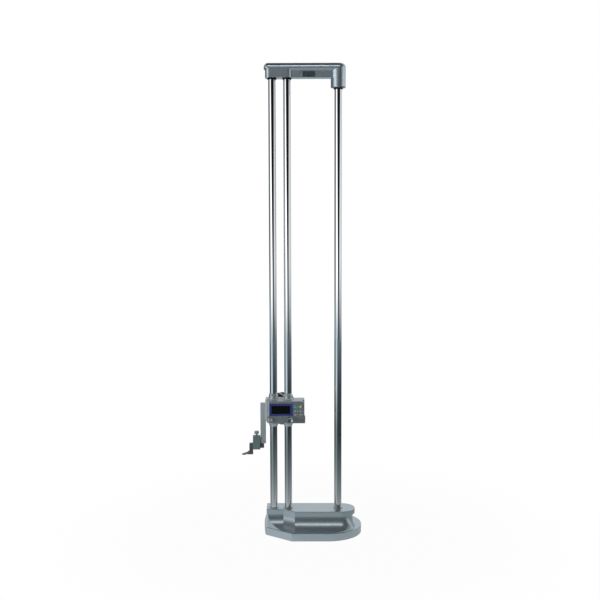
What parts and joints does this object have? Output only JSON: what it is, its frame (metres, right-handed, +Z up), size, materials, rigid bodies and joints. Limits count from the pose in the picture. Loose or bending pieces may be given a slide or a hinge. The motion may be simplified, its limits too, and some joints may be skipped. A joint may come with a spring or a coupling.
{
  "type": "digital height gauge",
  "caption": "Height gauge with a cast base, two guide columns and a support column, a wheel-driven slider with read-out, a hanging jaw and a clamped scriber.",
  "frame": {"origin": "middle of the lapped underside of the base, on the table's surface", "axes": "+Z up along the columns, -Y the front with the read-out, +X to the right towards the support column"},
  "size_m": [0.331, 0.188, 1.285],
  "materials": {
    "casting_paint": "silver-grey metallic paint, semi-gloss",
    "chrome_rod": "hard-chromed and ground",
    "steel": "ground steel",
    "black_steel": "blackened steel",
    "slider_metal": "satin-plated casting",
    "display_plastic": "grey moulded plastic",
    "frame_blue": "blue screen frame",
    "window": "clear window",
    "lcd": "dark liquid-crystal cell",
    "board": "printed board",
    "brass": "turned bronze or brass",
    "felt": "oiled felt",
    "wheel_plastic": "black moulded plastic",
    "chrome_trim": "polished plating",
    "jaw_steel": "satin-chromed steel",
    "scriber_steel": "dark hardened steel",
    "carbide": "ground hard metal",
    "key_teal": "teal key",
    "key_yellow": "yellow key",
    "key_grey": "grey key",
    "bumper_rubber": "black rubber",
    "plate": "dark blank plate"
  },
  "bodies": {
    "frame": {"base_casting": "casting_paint", "column_screws": "black_steel", "foot_collars": "steel", "main_column": "chrome_rod", "rack_column": "chrome_rod", "support_column": "chrome_rod", "top_bracket": "casting_paint", "column_bumpers": "bumper_rubber", "bracket_set_screws": "black_steel", "name_plate": "plate"},
    "slider": {"slider_body": "slider_metal", "guide_bushes": "brass", "wiper_cones": "slider_metal", "wiper_felts": "felt", "shaft_bushes": "brass", "display_front": "display_plastic", "display_rear": "display_plastic", "battery_cover": "wheel_plastic", "battery": "chrome_trim", "lcd_frame": "frame_blue", "lcd_window": "window", "lcd_panel": "lcd", "circuit_board": "board", "key_switches": "wheel_plastic", "brake_shoe": "brass", "lever_stud": "steel", "jaw": "jaw_steel", "jaw_screws": "black_steel", "scriber_clamp": "jaw_steel"},
    "hand_wheel": {"drive_pinion": "steel", "pinion_shaft": "steel", "encoder_disc": "steel", "hand_wheel": "wheel_plastic", "wheel_nut": "chrome_trim"},
    "clamp_knob": {"clamp_knob": "chrome_trim", "clamp_screw": "steel"},
    "lock_screw": {"lock_screw": "steel"},
    "clamp_lever": {"clamp_lever": "chrome_trim"},
    "thumb_screw": {"thumb_screw": "steel"},
    "scriber": {"scriber": "scriber_steel", "carbide_tip": "carbide"},
    "key_1": {"key_1": "key_teal"},
    "key_2": {"key_2": "key_yellow"},
    "key_3": {"key_3": "key_grey"},
    "key_4": {"key_4": "key_grey"},
    "key_5": {"key_5": "key_grey"},
    "key_6": {"key_6": "key_grey"}
  },
  "joints": [
    {"name": "slider_travel", "type": "slide", "parent": "frame", "child": "slider", "axis": [0, 0, 1], "range_m": [-0.223, 0.777]},
    {"name": "hand_wheel_turn", "type": "hinge", "parent": "slider", "child": "hand_wheel", "pos_m": [-0.0858, 0, 0.343], "axis": [0, 1, 0], "range_deg": [-1217.5, 4240.5]},
    {"name": "clamp_knob_turn", "type": "hinge", "parent": "slider", "child": "clamp_knob", "pos_m": [-0.062, -0.078, 0.332], "axis": [0, 1, 0], "range_deg": [-720, 0]},
    {"name": "lock_screw_turn", "type": "hinge", "parent": "slider", "child": "lock_screw", "pos_m": [-0.1125, -0.073, 0.331], "axis": [0, 1, 0], "range_deg": [-720, 0]},
    {"name": "clamp_lever_turn", "type": "hinge", "parent": "slider", "child": "clamp_lever", "pos_m": [-0.06, -0.0035, 0.372], "axis": [0, 1, 0], "range_deg": [0, 35]},
    {"name": "thumb_screw_turn", "type": "hinge", "parent": "slider", "child": "thumb_screw", "pos_m": [-0.155, -0.028, 0.28], "axis": [0, 0, 1], "range_deg": [0, 720]},
    {"name": "scriber_slide", "type": "slide", "parent": "slider", "child": "scriber", "axis": [-1, 0, 0], "range_m": [0, 0.01]},
    {"name": "key_1_press", "type": "slide", "parent": "slider", "child": "key_1", "axis": [0, 1, 0], "range_m": [0, 0.0008], "stiffness_N_per_m": 900, "springref_m": -0.0008},
    {"name": "key_2_press", "type": "slide", "parent": "slider", "child": "key_2", "axis": [0, 1, 0], "range_m": [0, 0.0008], "stiffness_N_per_m": 900, "springref_m": -0.0008},
    {"name": "key_3_press", "type": "slide", "parent": "slider", "child": "key_3", "axis": [0, 1, 0], "range_m": [0, 0.0008], "stiffness_N_per_m": 900, "springref_m": -0.0008},
    {"name": "key_4_press", "type": "slide", "parent": "slider", "child": "key_4", "axis": [0, 1, 0], "range_m": [0, 0.0008], "stiffness_N_per_m": 900, "springref_m": -0.0008},
    {"name": "key_5_press", "type": "slide", "parent": "slider", "child": "key_5", "axis": [0, 1, 0], "range_m": [0, 0.0008], "stiffness_N_per_m": 900, "springref_m": -0.0008},
    {"name": "key_6_press", "type": "slide", "parent": "slider", "child": "key_6", "axis": [0, 1, 0], "range_m": [0, 0.0008], "stiffness_N_per_m": 900, "springref_m": -0.0008}
  ],
  "couplings": [
    {"joint": "hand_wheel_turn", "follows": "slider_travel", "rad_per_m": 95.238}
  ]
}
